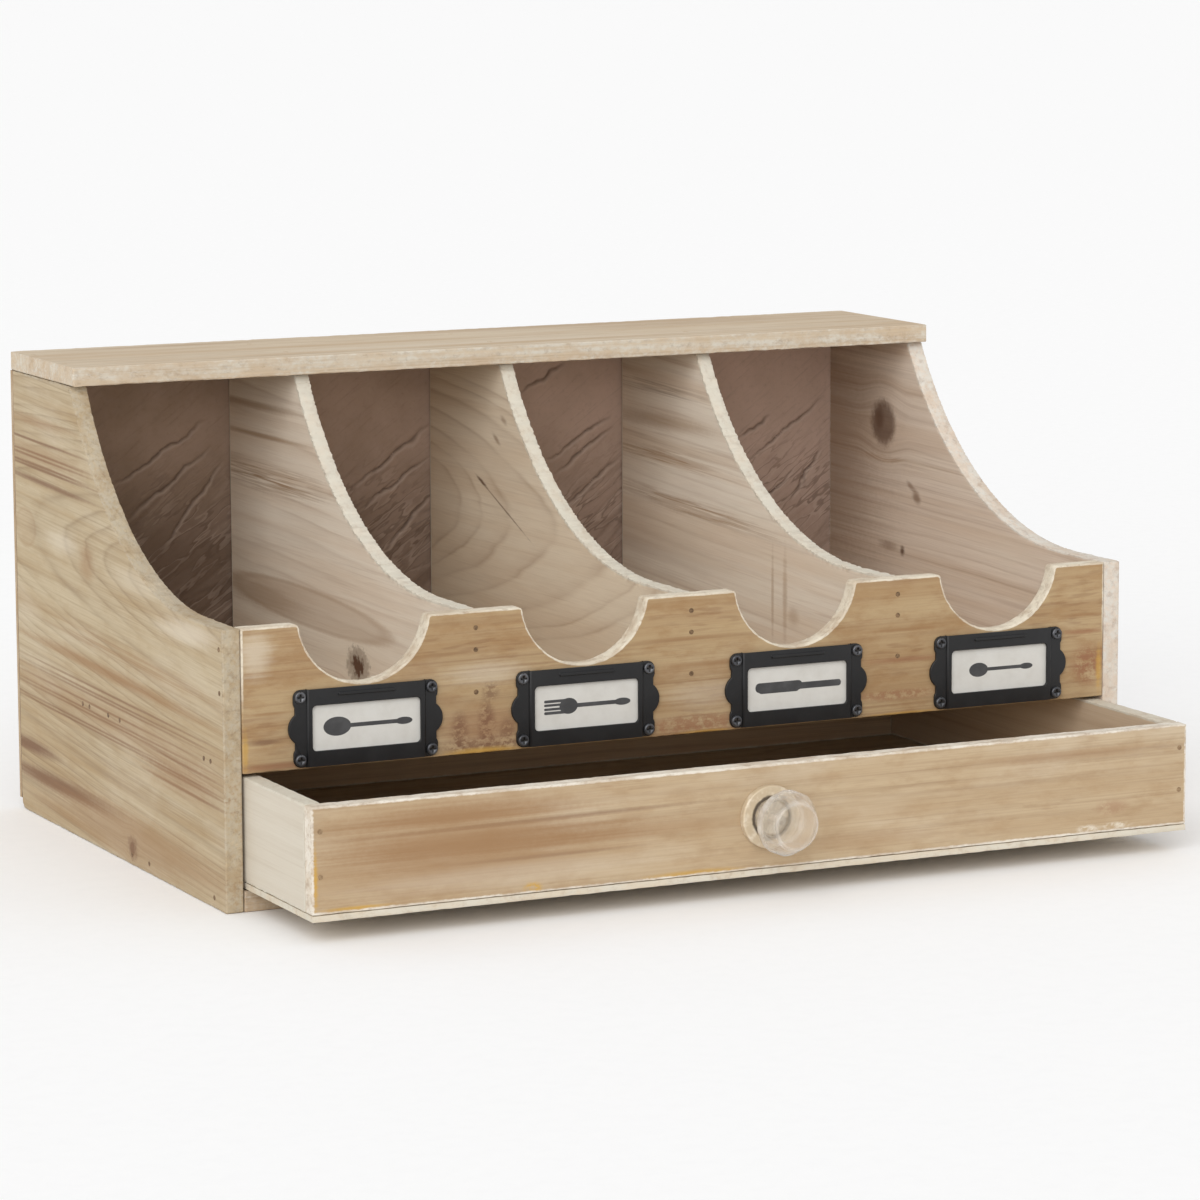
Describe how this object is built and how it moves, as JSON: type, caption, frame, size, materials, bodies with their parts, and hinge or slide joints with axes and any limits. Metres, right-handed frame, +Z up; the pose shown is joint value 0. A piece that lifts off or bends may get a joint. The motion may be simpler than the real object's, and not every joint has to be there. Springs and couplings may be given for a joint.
{
  "type": "cutlery caddy",
  "caption": "Wooden countertop cutlery caddy with open swept-side compartments, scooped front rail, black label frames and a full-width drawer with a glass knob.",
  "frame": {"origin": "centre of the underside of the carcass, without the open drawer", "axes": "+X to the right as seen from the front, +Y to the back panel, +Z up"},
  "size_m": [0.45, 0.371, 0.22],
  "materials": {
    "carcass_fir": "bare sawn fir with a thin pale wash",
    "divider_fir": "bare sawn fir with a thin pale wash",
    "rail_fir": "bare sawn fir with a thin pale wash",
    "drawer_fir": "bare sawn fir with a thin pale wash",
    "drawer_ply": "bare thin plywood",
    "back_facing": "creased brown facing on thin board",
    "label_metal": "satin black",
    "label_card": "plain off-white card",
    "screw_steel": "blackened",
    "nail_steel": "dull, darkened",
    "knob_glass": "clear pressed glass",
    "collar_metal": "dark bronze"
  },
  "bodies": {
    "carcass": {"left_side": "carcass_fir", "right_side": "carcass_fir", "top_board": "carcass_fir", "back_panel": "back_facing", "base_board": "carcass_fir", "compartment_floor": "carcass_fir", "front_rail": "rail_fir", "divider_left": "divider_fir", "divider_middle": "divider_fir", "divider_right": "divider_fir", "side_nails": "nail_steel", "rail_nails": "nail_steel", "top_nails": "nail_steel", "back_tacks": "nail_steel", "label_holder_1": "label_metal", "label_holder_2": "label_metal", "label_holder_3": "label_metal", "label_holder_4": "label_metal", "label_screws": "screw_steel"},
    "drawer": {"drawer_front": "drawer_fir", "drawer_left_side": "drawer_fir", "drawer_right_side": "drawer_fir", "drawer_back": "drawer_fir", "drawer_bottom": "drawer_ply", "drawer_nails": "nail_steel", "drawer_tacks": "nail_steel", "knob": "knob_glass", "knob_collar": "collar_metal", "knob_bolt": "nail_steel", "knob_washer": "nail_steel", "knob_nut": "nail_steel"},
    "card_1": {"label_card_1": "label_card"},
    "card_2": {"label_card_2": "label_card"},
    "card_3": {"label_card_3": "label_card"},
    "card_4": {"label_card_4": "label_card"}
  },
  "joints": [
    {"name": "drawer_slide", "type": "slide", "parent": "carcass", "child": "drawer", "axis": [0, -1, 0], "range_m": [-0.074, 0.176]},
    {"name": "card_1_slide", "type": "slide", "parent": "carcass", "child": "card_1", "axis": [0, 0, 1], "range_m": [0, 0.032]},
    {"name": "card_2_slide", "type": "slide", "parent": "carcass", "child": "card_2", "axis": [0, 0, 1], "range_m": [0, 0.032]},
    {"name": "card_3_slide", "type": "slide", "parent": "carcass", "child": "card_3", "axis": [0, 0, 1], "range_m": [0, 0.032]},
    {"name": "card_4_slide", "type": "slide", "parent": "carcass", "child": "card_4", "axis": [0, 0, 1], "range_m": [0, 0.032]}
  ]
}
